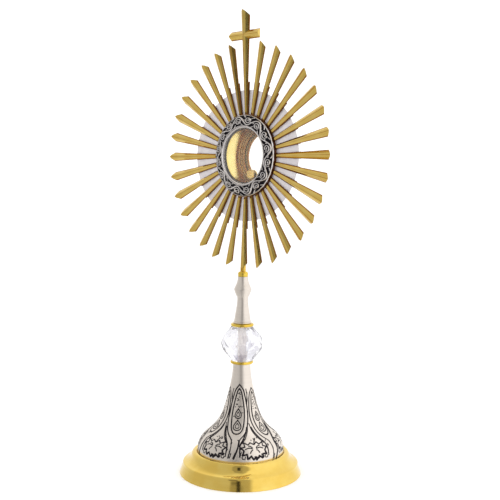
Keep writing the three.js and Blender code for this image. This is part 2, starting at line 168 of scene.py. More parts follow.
def filleted(profile, radius=0.3, steps=3, least=25.0):
    """The closed profile with each corner sharper than least degrees rounded off."""
    pts = [np.array(p, float) for p in profile]
    n = len(pts)
    out = []
    for i, p in enumerate(pts):
        a, b = pts[i - 1] - p, pts[(i + 1) % n] - p
        la, lb = np.linalg.norm(a), np.linalg.norm(b)
        if p[0] < 1e-6 or la < 1e-6 or lb < 1e-6:
            out.append(tuple(p))
            continue
        a, b = a / la, b / lb
        turn = math.degrees(math.pi - math.acos(np.clip(a @ b, -1, 1)))
        if turn < least:
            out.append(tuple(p))
            continue
        reach = min(radius * math.tan(math.radians(turn) / 2), 0.4 * la, 0.4 * lb)
        p0, p1 = p + a * reach, p + b * reach
        for t in np.linspace(0, 1, steps + 1):
            out.append(tuple((1 - t) ** 2 * p0 + 2 * t * (1 - t) * p + t ** 2 * p1))
    return out


def ring_faces(rings, segments, closed=True):
    """Faces between rings of vertices. A closed body's last ring joins its first."""
    return [[i * segments + j, i * segments + (j + 1) % segments,
             (i + 1) % rings * segments + (j + 1) % segments, (i + 1) % rings * segments + j]
            for i in range(rings if closed else rings - 1) for j in range(segments)]


def loft(rings):
    """A closed body through rings of points in order, with a flat cap on each end."""
    n, last = len(rings[0]), (len(rings) - 1) * len(rings[0])
    verts = [point for ring in rings for point in ring]
    caps = [list(range(n)), list(range(last, last + n))[::-1]]
    return verts, caps + ring_faces(len(rings), n, closed=False)


def ring_points(radius, angle, height):
    return np.stack([radius * np.cos(angle), radius * np.sin(angle),
                     np.broadcast_to(height, angle.shape)], 1)


def revolve(profile, segments):
    """Vertices and faces of a closed body of revolution about Z."""
    verts, faces, rows = [], [], []
    angles = np.linspace(0, 2 * math.pi, segments, endpoint=False)
    for r, z in profile:
        if r < 1e-6:
            rows.append([len(verts)] * segments)
            verts.append((0, 0, z))
        else:
            rows.append(list(range(len(verts), len(verts) + segments)))
            verts.extend((r * math.cos(a), r * math.sin(a), z) for a in angles)
    n = len(rows)
    for i in range(n):
        top, bottom = rows[(i + 1) % n], rows[i]
        if top[0] == top[1] and bottom[0] == bottom[1]:
            continue
        for j in range(segments):
            k = (j + 1) % segments
            face = [bottom[j], bottom[k], top[k], top[j]]
            face = [v for x, v in enumerate(face) if v not in face[:x]]
            faces.append(face)
    return verts, faces


def turned(name, profile, material, segments=ROUND, fillet=0.3, matrix=None, sharp=32.0):
    verts, faces = revolve(filleted(profile, fillet), segments)
    return make_object(name, verts, faces, material, matrix, sharp)


def merged(*parts):
    """Several closed shells as one vertex and face list."""
    verts, faces = [], []
    for v, f in parts:
        base = len(verts)
        verts.extend(v)
        faces.extend([[base + i for i in face] for face in f])
    return verts, faces


def moved(part, matrix):
    verts, faces = part
    return [tuple(matrix @ Vector(v)) for v in verts], faces


def slab(outline, bottom, top, bevel=0.3):
    """An outline in XY between two heights, with small bevels along both rims."""
    pts = np.array(outline, float)
    inner = inset(pts, bevel)
    levels = [(inner, bottom), (pts, bottom + bevel), (pts, top - bevel), (inner, top)]
    return loft([[(x, y, z) for x, y in ring] for ring, z in levels])


def inset(pts, distance):
    """A convex anticlockwise outline moved inward."""
    out = []
    for i in range(len(pts)):
        a, p, b = pts[i - 1], pts[i], pts[(i + 1) % len(pts)]
        n1 = np.array([-(p - a)[1], (p - a)[0]]) / np.linalg.norm(p - a)
        n2 = np.array([-(b - p)[1], (b - p)[0]]) / np.linalg.norm(b - p)
        out.append(p + (n1 + n2) * distance / (1 + n1 @ n2))
    return np.array(out)


def sun_matrix(angle=0.0):
    """Local Y points outward at that angle clockwise from the top, local Z to the front."""
    return (Matrix.Translation((0, 0, SUN_Z * MM)) @ Matrix.Rotation(math.pi / 2, 4, "X")
            @ Matrix.Rotation(-angle, 4, "Z"))


# ---- Node materials ----
class Nodes:
    """Short calls for building one node tree."""

    def __init__(self, name):
        self.material = bpy.data.materials.new(name)
        self.material.use_nodes = True
        self.tree = self.material.node_tree
        self.bsdf = self.tree.nodes["Principled BSDF"]

    def add(self, kind, inputs=None, **props):
        node = self.tree.nodes.new(kind)
        for key, value in props.items():
            setattr(node, key, value)
        for key, value in (inputs or {}).items():
            if isinstance(value, bpy.types.NodeSocket):
                self.tree.links.new(value, node.inputs[key])
            else:
                node.inputs[key].default_value = value
        return node

    def place(self):
        return self.add("ShaderNodeTexCoord").outputs["Object"]

    def vector(self, operation, inputs, output=0):
        return self.add("ShaderNodeVectorMath", inputs, operation=operation).outputs[output]

    def math(self, operation, a, b=0.0, clamp=False):
        return self.add("ShaderNodeMath", {0: a, 1: b}, operation=operation,
                        use_clamp=clamp).outputs[0]

    def noise(self, vector, scale, detail=4.0, rough=0.55):
        return self.add("ShaderNodeTexNoise", {"Vector": vector, "Scale": scale, "Detail": detail,
                                               "Roughness": rough}).outputs["Fac"]

    def stretch(self, value, a, b, c, d):
        return self.add("ShaderNodeMapRange", {"Value": value, "From Min": a, "From Max": b,
                                               "To Min": c, "To Max": d}).outputs["Result"]

    def mix(self, factor, a, b):
        node = self.add("ShaderNodeMix", data_type="RGBA")
        for index, value in ((0, factor), (6, a), (7, b)):
            if isinstance(value, bpy.types.NodeSocket):
                self.tree.links.new(value, node.inputs[index])
            else:
                node.inputs[index].default_value = (*value, 1.0)
        return node.outputs[2]

    def link(self, value, socket):
        self.tree.links.new(value, self.bsdf.inputs[socket])

    def bump(self, height, strength, distance, normal=None):
        inputs = {"Height": height, "Strength": strength, "Distance": distance}
        if normal is not None:
            inputs["Normal"] = normal
        return self.add("ShaderNodeBump", inputs).outputs["Normal"]

    def attribute(self, name):
        return self.add("ShaderNodeAttribute", attribute_name=name).outputs["Fac"]


def grain_vector(nodes, grain):
    """Object coordinates squeezed so that noise runs as brushing lines."""
    place = nodes.place()
    if grain == "turned":  # lines around Z
        parts = nodes.add("ShaderNodeSeparateXYZ", {0: place}).outputs
        flat = nodes.add("ShaderNodeCombineXYZ", {0: parts[0], 1: parts[1]}).outputs[0]
        around = nodes.vector("NORMALIZE", {0: flat})
        soft = nodes.vector("SCALE", {0: around, 3: 0.35})
        radius = nodes.vector("LENGTH", {0: flat}, "Value")
        height = nodes.math("MULTIPLY", nodes.math("ADD", parts[2], nodes.math("MULTIPLY", radius, 0.7)),
                            420.0)
        rise = nodes.add("ShaderNodeCombineXYZ", {2: height}).outputs[0]
        return nodes.vector("ADD", {0: soft, 1: rise})
    scale = {"long": (520, 22, 520), "flat": (300, 300, 300)}[grain]
    return nodes.add("ShaderNodeMapping", {"Vector": place, "Scale": scale}).outputs[0]


def metal(name, color, shade, rough, grain, tone=(0.35, 0.65), brush=0.12, relief=None,
          rough_spread=0.10, bump=0.0004):
    """Polished or satin metal: cloudy colour, brushed roughness, fine scratches, oxide in relief."""
    nodes = Nodes(name)
    place = nodes.place()
    lines = nodes.noise(grain_vector(nodes, grain), 1.0, 5.0, 0.6)
    clouds = nodes.noise(place, 38.0, 3.0)
    specks = nodes.noise(place, 900.0, 2.0, 0.5)
    body = nodes.mix(nodes.stretch(clouds, *tone, 0.0, 1.0), color, shade)
    streak = nodes.mix(nodes.stretch(lines, 0.3, 0.75, 0.0, brush), body,
                       [c * 0.45 for c in color])
    surface = nodes.math("ADD", nodes.stretch(lines, 0.3, 0.7, rough - rough_spread / 2,
                                              rough + rough_spread / 2),
                         nodes.stretch(clouds, 0.35, 0.65, -0.02, 0.03))
    if relief:
        dark, threshold, dark_rough = relief
        ink = nodes.attribute("ink")
        worn = nodes.math("ADD", ink, nodes.stretch(specks, 0.35, 0.65, -0.12, 0.12))
        mask = nodes.math("MULTIPLY", nodes.stretch(worn, *threshold, 0.0, 1.0), 1.0, clamp=True)
        streak = nodes.mix(mask, streak, dark)
        surface = nodes.math("ADD", surface, nodes.math("MULTIPLY", mask, dark_rough))
    nodes.link(streak, "Base Color")
    nodes.link(surface, "Roughness")
    nodes.bsdf.inputs["Metallic"].default_value = 1.0
    first = nodes.bump(lines, 0.35, bump)
    nodes.link(nodes.bump(specks, 0.12, bump * 0.3, first), "Normal")
    return nodes.material


def glass(name, tint, ior, rough):
    nodes = Nodes(name)
    place = nodes.place()
    clouds = nodes.noise(place, 60.0, 3.0)
    smears = nodes.noise(place, 240.0, 4.0)
    nodes.link(nodes.mix(nodes.stretch(clouds, 0.35, 0.65, 0.0, 1.0), tint,
                         [c * 0.985 for c in tint]), "Base Color")
    nodes.link(nodes.stretch(smears, 0.45, 0.75, 0.0, rough), "Roughness")
    nodes.link(nodes.bump(clouds, 0.02, 0.0001), "Normal")
    nodes.bsdf.inputs["Transmission Weight"].default_value = 1.0
    nodes.bsdf.inputs["IOR"].default_value = ior
    return nodes.material


def crystal_material():
    """Cut crystal: clear, with the grey and lilac flashes that its facets throw inside."""
    nodes = Nodes("lead_crystal")
    place = nodes.place()
    cells = nodes.add("ShaderNodeTexVoronoi", {"Vector": place, "Scale": 95.0, "Randomness": 1.0},
                      feature="F1").outputs["Color"]
    pick = nodes.add("ShaderNodeSeparateColor", {0: cells}).outputs
    flash = nodes.mix(pick[0], (0.52, 0.50, 0.58), (1.0, 1.0, 1.0))
    smears = nodes.noise(place, 240.0, 4.0)
    nodes.link(nodes.mix(nodes.stretch(pick[1], 0.25, 0.75, 0.0, 1.0), flash,
                         (0.95, 0.95, 0.98)), "Base Color")
    nodes.link(nodes.stretch(smears, 0.45, 0.75, 0.02, 0.06), "Roughness")
    nodes.link(nodes.bump(cells, 0.10, 0.0006), "Normal")
    nodes.bsdf.inputs["Transmission Weight"].default_value = 0.80
    nodes.bsdf.inputs["IOR"].default_value = 1.24
    return nodes.material


def felt_material():
    nodes = Nodes("felt_wool")
    place = nodes.place()
    fibres = nodes.noise(place, 1400.0, 6.0, 0.7)
    clouds = nodes.noise(place, 70.0, 3.0)
    body = nodes.mix(nodes.stretch(clouds, 0.3, 0.7, 0.0, 1.0), (0.11, 0.016, 0.024),
                     (0.06, 0.010, 0.016))
    nodes.link(nodes.mix(nodes.stretch(fibres, 0.4, 0.7, 0.0, 0.5), body,
                         (0.19, 0.05, 0.06)), "Base Color")
    nodes.link(nodes.stretch(fibres, 0.3, 0.7, 0.85, 1.0), "Roughness")
    nodes.link(nodes.bump(fibres, 0.8, 0.0006), "Normal")
    nodes.bsdf.inputs["Sheen Weight"].default_value = 0.4
    return nodes.material


GOLD = (0.93, 0.68, 0.175)
GOLD_DEEP = (0.88, 0.60, 0.125)
SILVER = (0.89, 0.81, 0.725)
SILVER_GREY = (0.83, 0.755, 0.68)
OXIDE = (0.030, 0.026, 0.030)

base_gold = metal("base_gold", GOLD, GOLD_DEEP, 0.08, "turned", brush=0.07, rough_spread=0.03,
                  bump=0.00004)
ray_gold = metal("ray_gold", (0.90, 0.655, 0.195), (0.83, 0.57, 0.135), 0.11, "long", brush=0.22)
# Brown for the low edges of rays and bars: painted shade along their side walls.
edge_shade_gold = metal("edge_shade_gold", (0.52, 0.235, 0.04), (0.40, 0.165, 0.028), 0.25, "long", brush=0.3)
# Brown copy of the gold for the star's arms behind the rays: painted shade.
arm_shade_gold = metal("arm_shade_gold", (0.40, 0.19, 0.05), (0.26, 0.11, 0.03), 0.30, "long", brush=0.3)
# Paler brown for the faces along a ray's ridge: a painted shade line on the crest.
ridge_shade_gold = metal("ridge_shade_gold", (0.70, 0.43, 0.10), (0.58, 0.33, 0.07), 0.20, "long", brush=0.12)
tang_gold = metal("tang_gold", (0.90, 0.64, 0.15), (0.80, 0.50, 0.09), 0.18, "long", brush=0.25)
# Dark brown for the side walls of the star's hub and arms: painted shade for the dark gap between the bezel
# and the rays.
painted_shade_brown = metal("painted_shade_brown", (0.17, 0.055, 0.022), (0.08, 0.027, 0.012), 0.40, "flat", brush=0.4)
ring_gold = metal("ring_gold", (0.90, 0.66, 0.12), (0.84, 0.56, 0.08), 0.14, "turned", brush=0.08)
case_gold = metal("case_gold", (0.95, 0.76, 0.30), (0.91, 0.69, 0.24), 0.15, "turned", brush=0.08)
clip_gold = metal("clip_gold", (0.76, 0.55, 0.20), (0.62, 0.40, 0.12), 0.20, "flat", brush=0.2)
# Darker copy of the ray gold for the one ray left of the cross: painted shade.
ray_shade_gold = metal("ray_shade_gold", (0.58, 0.39, 0.10), (0.42, 0.26, 0.06), 0.13, "long", brush=0.3)
# Darker copy of the ray gold for the cross's upright: painted shade for the darker reflection it shows.
cross_shade_gold = metal("cross_shade_gold", (0.74, 0.54, 0.16), (0.66, 0.46, 0.11), 0.13, "long", brush=0.2)
brown_gilt = metal("brown_gilt_metal", (0.42, 0.165, 0.045), (0.27, 0.092, 0.024), 0.18, "turned",
                   brush=0.3)
satin_silver = metal("stem_silver", SILVER, SILVER_GREY, 0.33, "turned", brush=0.12)
bell_silver = metal("bell_silver", SILVER, SILVER_GREY, 0.33, "turned", brush=0.12,
                    relief=(OXIDE, (0.18, 0.42), 0.15))
bezel_silver = metal("bezel_silver", (0.95, 0.90, 0.87), (0.74, 0.70, 0.69), 0.22, "flat",
                     brush=0.15, relief=((0.016, 0.014, 0.018), (0.16, 0.62), 0.2))
plate_silver = metal("plate_metal", (0.90, 0.855, 0.865), (0.82, 0.775, 0.79), 0.45, "flat",
                     brush=0.05, bump=0.0010)
plate_silver.node_tree.nodes["Principled BSDF"].inputs["Metallic"].default_value = 0.6
steel = metal("rod_steel", (0.55, 0.56, 0.57), (0.42, 0.43, 0.44), 0.35, "turned", brush=0.3)
crystal = crystal_material()
pane_glass = glass("pane_glass", (0.99, 1.0, 0.995), 1.46, 0.012)
felt = felt_material()


# ---- Foot ----
def turned_base():
    deck_top = low("bell_foot").z - 0.3
    top = high("base_foot").z
    wall = spline([(93.4, 0), (90.6, 7.2), (88.6, 13.5), (88.2, 16.8)], 18)
    cove = spline([(87.2, 17.7), (82.6, 19.8), (78.6, 22.8), (76.2, 25.6)], 15)
    torus = spline([(75.7, 27.2), (74.2, 31), (71.6, 33.6), (69, top)], 15)
    lip = [(66.8, 33.2), (66.6, deck_top), (ROD_BORE, deck_top), (ROD_BORE, 25.0)]
    inside = [(70.5, 25.0), (77.5, 18.5), (85, 14), (86.5, 9), (90.3, 0)]
    profile = wall + cove + torus + lip + inside
    stand_in(turned("turned_base", profile, base_gold, 220, 0.35), "root", "gold_brass", "base_foot")


def felt_disc():
    radius = high("base_pad").x
    top = high("base_pad").z
    profile = oblong(0, radius, 0, top)
    stand_in(turned("felt_disc", profile, felt, ROUND, 0.6), "root", "felt", "base_pad")


BELL_OUTLINE = [(65.9, 28.6), (66.1, 39), (63.5, 49.8), (56.6, 59.2), (46.3, 68.6), (37.9, 77.8),
                (29.6, 92), (22.1, 115.4), (15.9, 143.4), (13.8, 160), (13.6, 168.9)]


def stroke_cover(u, v, points, width, soft=0.45):
    """How much a pen line along the points covers each place: 1 on it and 0 beside it."""
    return np.clip((width / 2 + soft / 2 - line_distance(u, v, points)) / soft, 0, 1)


def drop(cx, cy, half_width, half_height, count=28):
    """A teardrop with its point up."""
    out = []
    for t in np.linspace(0, 2 * math.pi, count):
        out.append((cx + half_width * 1.3 * math.sin(t) * math.sin(t / 2) ** 1.3,
                    cy + half_height * math.cos(t)))
    return out


def bell_strokes(arc):
    """Pen lines of one lancet of the bell: (points, width). arc turns a height into length."""
    inner = [(0, 133.5), (2.6, 129.5), (5.2, 120), (7.4, 110), (9.0, 100), (9.6, 90), (9.2, 80),
             (7.6, 75), (4.4, 71.6), (0, 70.6)]
    outer = [(0, 139.5), (3.4, 135), (6.4, 130), (9.4, 120), (12.0, 110), (14.0, 100), (15.2, 90),
             (15.2, 80), (14.0, 74), (11.4, 69.5), (8.2, 66.2), (5.8, 63.6)]
    strokes = []
    for side in (-1, 1):
        strokes.append((spline([(side * x, arc(z)) for x, z in inner], 40), 1.9))
        strokes.append((spline([(side * x, arc(z)) for x, z in outer], 44), 1.7))
    stems = ((((-5.8, 63.6), (-5.4, 57), (-6.2, 50), (-8.4, 40.5)), 12, 1.7),
             (((5.8, 63.6), (5.6, 57), (3.8, 50), (0.2, 40.0)), 12, 2.5),
             (((-4.2, 47.5), (-5.0, 44), (-6.4, 40.5)), 6, 1.3),
             (((1.8, 47.5), (0.4, 44), (-1.2, 40.5)), 6, 1.3))
    for points, count, width in stems:
        strokes.append((spline([(x, arc(z)) for x, z in points], count), width))
    flow = ((9.6, 133), (12.4, 122), (15.4, 110), (18.4, 99), (21.0, 90))
    for side in (-1, 1):
        strokes.append((spline([(side * x, arc(z)) for x, z in flow], 20), 1.1))
    for z, w, h in ((97.5, 5.0, 7.2), (81.6, 6.2, 8.0)):
        strokes.append((drop(0, arc(z), w, h), 1.5))
        strokes.append((drop(0, arc(z) - 0.8, w * 0.5, h * 0.5), 1.1))
    return strokes


def leaf_strokes(arc):
    """A maple leaf between two stems, its stalk up, under the arch of the two lancets."""
    x0, y0 = -1.5, arc(51.8)

    def place(points):
        return [(x0 + x, y0 + y) for x, y in points]

    upper = [(0.6, 8.4), (5.0, 12.6), (8.6, 8.2), (14.6, 11.6), (14.2, 5.2), (20.4, 3.0)]
    lower = [(20.4, 3.0), (16.6, -1.6), (19.6, -7.8), (12.6, -6.6), (11.8, -12.6), (6.4, -8.8),
             (2.4, -14.6), (-0.4, -10.0)]
    arches = ((((23.5, 43.0), (22.6, 52), (20.0, 58.5), (13.6, 64.5), (7.4, 71.5), (3.4, 79)), 26, 1.9),
              (((17.0, 60.0), (9.6, 66.0), (3.8, 74), (1.2, 84)), 18, 1.1))
    strokes = []
    for side in (-1, 1):
        wave = 0.7 if side < 0 else 0.0
        strokes.append((place([(side * x, y + wave * math.sin(2.2 * x)) for x, y in upper]), 1.6))
        strokes.append((place([(side * x, y - wave * math.cos(1.7 * x)) for x, y in lower]), 2.3))
        for x, y, bend in ((13.8, 1.6, 2.2), (8.6, 6.0, 1.2), (7.4, -4.4, 1.6)):
            strokes.append((spline(place([(side * 3.2, y * 0.35 + 1.6),
                                          (side * (x + 3.2) / 2, y * 0.7 + 1.2 + bend / 2),
                                          (side * x, y)]), 8), 1.3))
        for line, count, width in arches:
            strokes.append((spline([(x0 + side * x, arc(z)) for x, z in line], count), width))
    strokes.append((spline(place([(0.6, 8.4), (1.8, 13.0), (4.4, 18.5)]), 8), 1.5))
    for x in (-18.0, -10.5, -3.0, 4.5, 12.0, 19.0):
        strokes.append((spline([(x0 + x - 2.4, arc(42.6)), (x0 + x - 1.6, arc(40.0)),
                                (x0 + x + 1.6, arc(40.0)), (x0 + x + 2.4, arc(42.6))], 9), 1.3))
    return strokes


def engraved_bell():
    """The spun bell: a shell whose outer face carries six lancets and six leaves as grooves."""
    top = high("bell_foot").z
    wall, web, groove = 2.2, 3.5, 0.5
    fine = np.array(spline(BELL_OUTLINE, 900))
    length = np.concatenate([[0], np.cumsum(np.hypot(*np.diff(fine, axis=0).T))])

    def arc(z):
        return float(np.interp(z, fine[:, 1], length))

    start, end = arc(38.2), arc(141)
    rows = np.concatenate([np.linspace(0, start, 7)[:-1], np.linspace(start, end, 146),
                           np.linspace(end, length[-1], 12)[1:]])
    sectors, segments = 6, 528
    sector = 2 * math.pi / sectors
    radius = np.interp(rows, length, fine[:, 0])
    height = np.interp(rows, length, fine[:, 1])
    angle = np.arange(segments) / segments * 2 * math.pi
    ink = np.zeros((len(rows), segments))
    # The pattern is cut by hand: each lancet stands a little aside (degrees) and lower (mm).
    aside = (0.0, 4.0, -3.0, 2.0, -2.5, -2.0)
    lower = (0.0, 6.0, 3.0, 4.0, 2.0, 6.0)
    first = CAMERA_AZIMUTH - math.radians(8.5)
    rng = np.random.default_rng(7)

    def engrave(middle, drop_by, strokes, reach):
        turn = (angle - middle + math.pi) % (2 * math.pi) - math.pi
        near = np.where(np.abs(turn) < reach)[0]
        u = radius[:, None] * turn[None, near]
        v = np.repeat(rows[:, None] + drop_by, len(near), 1)
        cover = ink[:, near]
        for points, width in strokes:
            cover = np.maximum(cover, stroke_cover(u, v, points, width))
        ink[:, near] = cover

    for i in range(sectors):
        middle = first + i * sector + math.radians(aside[i])
        dots = []
        for _ in range(40):  # punched ground beside the drops
            z = rng.uniform(73, 128)
            span = np.interp(z, [73, 80, 100, 129.5], [3.0, 7.0, 6.8, 1.0])
            x = rng.uniform(-span, span)
            if not any(abs(z - c) < h and abs(x) < w for c, w, h in ((97.5, 5.6, 8), (81.6, 6.8, 9))):
                dots.append(([(x - 0.7, arc(z)), (x + 0.7, arc(z))], 0.8))
        engrave(middle, lower[i], bell_strokes(arc) + dots, 0.62)
        dots = []
        for _ in range(46):  # punched ground round the leaf
            x, z = rng.uniform(-25, 25), rng.uniform(44, 66)
            if (x / 19) ** 2 + ((z - 53) / 9.5) ** 2 > 1:
                dots.append(([(x, arc(z)), (x + rng.uniform(-1, 1), arc(z) + 1.2)], 1.0))
        engrave(first + (i + 0.5) * sector, 0.0, leaf_strokes(arc) + dots, 0.50)
    slope = np.gradient(fine, axis=0)
    nr = np.interp(rows, length, slope[:, 1] / np.hypot(*slope.T))
    nz = np.interp(rows, length, -slope[:, 0] / np.hypot(*slope.T))
    grid = []
    for i in range(len(rows)):
        r = radius[i] - groove * ink[i] * nr[i]
        z = height[i] - groove * ink[i] * nz[i]
        grid.append(ring_points(r, angle, z))
    inside = [(ROD_BORE, top), (ROD_BORE, top - web), (11.4, top - web)]
    inside += [(r - wall, z) for r, z in reversed(spline(BELL_OUTLINE[:-1], 9))]
    for r, z in inside:
        grid.append(ring_points(r, angle, z))
    faces = ring_faces(len(grid), segments)
    obj = make_object("engraved_bell", np.concatenate(grid), faces, bell_silver)
    bare = np.zeros(len(inside) * segments)
    write_attribute(obj, "ink", np.concatenate([ink.ravel(), bare]))
    stand_in(obj, "root", "satin_silver", "bell_foot")


# ---- Stem ----
def knop_rings():
    for name, node in (("knop_ring_low", "lower_knop_ring"), ("knop_ring_high", "upper_knop_ring")):
        base = low(node).z
        edge = spline([(16.2, 0), (17.2, 0.8), (17.5, 2.1), (17.2, 3.4), (16.2, 4.2)], 16)
        profile = [(r, z + base) for r, z in [(ROD_BORE, 0)] + edge + [(ROD_BORE, 4.2)]]
        stand_in(turned(name, profile, ring_gold, ROUND, 0.2), "root", "gold_brass", node)


def cut_crystal():
    """Lozenges around the middle with long facets above and below, and a bore."""
    node = "crystal_knop"
    bottom, height = low(node).z, high(node).z - low(node).z
    middle, flat, corner_radius, end_radius, sides, bore = height / 2 + 0.5, 9.0, 32.6, 16.8, 9, 7.0
    waist = corner_radius * math.cos(math.pi / sides)
    work = bmesh.new()
    for i in range(sides):
        corner = CAMERA_AZIMUTH - math.pi / 2 + 2 * math.pi / sides * i
        between = corner + math.pi / sides
        for r, a, z in ((corner_radius, corner, middle), (waist, between, middle + flat),
                        (waist, between, middle - flat), (end_radius, corner, height),
                        (end_radius, corner, 0)):
            work.verts.new((r * math.cos(a) * MM, r * math.sin(a) * MM, (z + bottom) * MM))
    bmesh.ops.convex_hull(work, input=work.verts)
    bmesh.ops.dissolve_limit(work, angle_limit=0.01, verts=work.verts, edges=work.edges)
    mesh = bpy.data.meshes.new("cut_crystal")
    work.to_mesh(mesh)
    work.free()
    obj = linked("cut_crystal", mesh)
    under, over = bottom - 5, bottom + height + 5
    profile = oblong(0, bore, under, over)
    drill = make_object("crystal_drill", *revolve(profile, ROUND_SMALL), crystal)
    cut = obj.modifiers.new("bore", "BOOLEAN")
    cut.operation, cut.solver, cut.object = "DIFFERENCE", "EXACT", drill
    edge = obj.modifiers.new("edge", "BEVEL")
    edge.width, edge.segments = 0.25 * MM, 1
    edge.limit_method, edge.angle_limit = "ANGLE", math.radians(12)
    bpy.context.view_layer.update()
    done = bpy.data.meshes.new_from_object(obj.evaluated_get(bpy.context.evaluated_depsgraph_get()))
    obj.modifiers.clear()
    obj.data = done
    bpy.data.objects.remove(drill)
    done.materials.clear()
    done.materials.append(crystal)
    done.polygons.foreach_set("use_smooth", [False] * len(done.polygons))
    stand_in(obj, "root", "crystal", node)


def inner_sleeve():
    bottom, top = low("knop_sleeve").z, high("knop_sleeve").z
    outer = 6.6
    profile = oblong(ROD_BORE, outer, bottom, top)
    stand_in(turned("inner_sleeve", profile, satin_silver, ROUND_SMALL, 0.2), "root", "satin_silver",
             "knop_sleeve")


def turned_baluster():
    base = low("stem_baluster").z
    top = high("stem_baluster").z - base
    foot = [(13.9, 0), (14.2, 0.9), (13.9, 2.0), (13.1, 2.4), (13.1, 2.9), (13.5, 3.3), (13.4, 4.2),
            (12.7, 4.6)]
    taper = spline([(12.4, 5.4), (11.0, 14.4), (9.5, 23.7), (8.5, 32.5), (8.4, 38.6), (10.1, 42.6),
                    (11.7, 46.4), (13.3, 51.0)], 48)
    neck = spline([(13.3, 52.4), (12.0, 55.6), (9.8, 60.4), (8.5, 65.0), (7.9, 68.6), (7.7, top)], 30)
    line = [(ROD_BORE, 0)] + foot + taper + neck + [(ROD_BORE, top)]
    profile = [(r, z + base) for r, z in line]
    stand_in(turned("turned_baluster", profile, satin_silver, ROUND, 0.35), "root", "satin_silver",
             "stem_baluster")


def turned_collar():
    base = low("stem_collar").z
    top = high("stem_collar").z - base
    crown = spline([(7.3, 1.9), (7.8, 2.8), (7.9, 4.0), (7.4, 5.6), (6.2, 6.9), (4.6, top)], 20)
    profile = [(r, z + base) for r, z in [(3.6, 0), (7.6, 0), (7.9, 0.5), (7.7, 1.2)] + crown
               + [(3.6, top)]]
    stand_in(turned("turned_collar", profile, ring_gold, ROUND_SMALL * 2, 0.15), "root", "gold_brass",
             "stem_collar")


def fork_tang():
    """A bar with two prongs, its top parallel to the slanted end of the lowest ray."""
    half_width, half_depth = 3.6, 2.6
    bottom = high("stem_collar").z + 0.3
    slope = (RAY_TIP - RAY_CORNER) / RAY_DEPTH

    def end_at(y):
        return SUN_Z - RAY_CORNER - slope * (-RAY_BACK - y) - 0.6

    parts = []
    for side in (-1, 1):
        x0, x1 = sorted((side * 0.8, side * half_width))
        rim = 0.35
        section = [(x0, -half_depth + rim), (x0 + rim, -half_depth), (x1 - rim, -half_depth),
                   (x1, -half_depth + rim), (x1, half_depth - rim), (x1 - rim, half_depth),
                   (x0 + rim, half_depth), (x0, half_depth - rim)]
        parts.append(loft([[(x, y, bottom) for x, y in section],
                           [(x, y, end_at(y)) for x, y in section]]))
    back = oblong(-1.2, 1.2, -1.6, half_depth - 0.3)
    parts.append(loft([[(x, y, bottom + 0.2) for x, y in back],
                       [(x, y, end_at(y) - 0.2) for x, y in back]]))
    spigot = oblong(0, 3.3, bottom - 7.0, bottom + 0.8)
    parts.append(revolve(spigot, 32))
    obj = make_object("fork_tang", *merged(*parts), tang_gold)
    stand_in(obj, "root", "gold_brass", "sun_tang")


# ---- Sunburst ----
def ray_section():
    """Half-unit section of a ray: low edges, straight flanks and a soft crease."""
    flank = [(1, 0), (1, 0.05), (0.97, 0.12), (0.83, 0.265), (0.63, 0.485), (0.44, 0.70)]
    crest = spline([(0.44, 0.70), (0.22, 0.845), (0.08, 0.935)], 6)[1:]
    side = flank + crest
    return side + [(0.0, 0.985)] + [(-x, y) for x, y in reversed(side)]


def drawn_in(section, amount):
    """The section shrunk a little towards its middle, for the worn rim of an end face."""
    return [(x * (1 - amount), 0.45 + (y - 0.45) * (1 - amount)) for x, y in section]


def ray_part(inner, corner, tip, bevel=0.16):
    """A tapered ray along Y. Its end faces slant so that the ridge is the longest line."""
    section = ray_section()
    slant = tip - corner

    def ring(shape, t, back_off):
        points = []
        for x, y in shape:
            start, end = inner + y * 2.5, corner + y * slant
            along = start + (end - start) * t + (back_off if t < 0.5 else -back_off)
            size = along / RAY_CORNER
            points.append((x * RAY_HALF_WIDTH * size, along, y * RAY_DEPTH * size))
        return points

    rim = drawn_in(section, bevel / 3.0)
    stations = [ring(rim, 0, 0.0), ring(section, 0, bevel)]
    stations += [ring(section, t, 0.0) for t in (0.25, 0.5, 0.75)]
    stations += [ring(section, 1, bevel), ring(rim, 1, 0.0)]
    return loft(stations)


def bar(name, part, tone, matrix, node):
    """A bar whose low edges take a brown painted shade, and whose ridge takes a paler brown painted shade
    line.
    """
    obj = make_object(name, *part, [tone, edge_shade_gold, ridge_shade_gold], matrix, 14)
    count = len(ray_section())
    side = {0, 1, 2, count - 1, count - 2, count - 3, count - 4}
    ridge = {count // 2 - 1, count // 2}
    for face in obj.data.polygons[2:]:
        place = (face.index - 2) % count
        face.material_index = 1 if place in side else 2 if place in ridge else 0
    stand_in(obj, "root", "gold_brass", node)


def sunburst_rays():
    part = ray_part(RAY_INNER, RAY_CORNER, RAY_TIP)
    lift = Matrix.Translation((0, 0, RAY_BACK * MM))
    for k in range(1, RAY_COUNT):
        tone = ray_shade_gold if k == RAY_COUNT - 1 else ray_gold  # the one left of the cross is painted darker, as shade for its dark reflection
        bar(f"sun_ray_{k:02d}", part, tone, sun_matrix(k * RAY_STEP) @ lift, f"ray_{k:02d}")


def cross():
    """The upright is the top ray. The bar crosses it with its ridge at the same height."""
    lean = (sun_matrix() @ Matrix.Translation((0, RAY_INNER * MM, RAY_BACK * MM))
            @ Matrix.Rotation(CROSS_LEAN, 4, "X") @ Matrix.Translation((0, -RAY_INNER * MM, 0)))
    section = ray_section()
    bar("cross_upright", ray_part(RAY_INNER, CROSS_CORNER, CROSS_TIP), cross_shade_gold, lean, "cross_ray")

    def ring(shape, side, back_off):
        return [(side * (BAR_HALF_LENGTH + y * BAR_LEAD - back_off),
                 BAR_CENTRE - x * BAR_HALF_HEIGHT, 0.3 + y * (BAR_DEPTH + 0.55)) for x, y in shape]

    rim = drawn_in(section, 0.05)
    stations = [ring(rim, -1, 0.0), ring(section, -1, 0.16), ring(section, 1, 0.16), ring(rim, 1, 0.0)]
    bar("cross_arms", loft(stations), ray_gold, lean, "cross_bar")


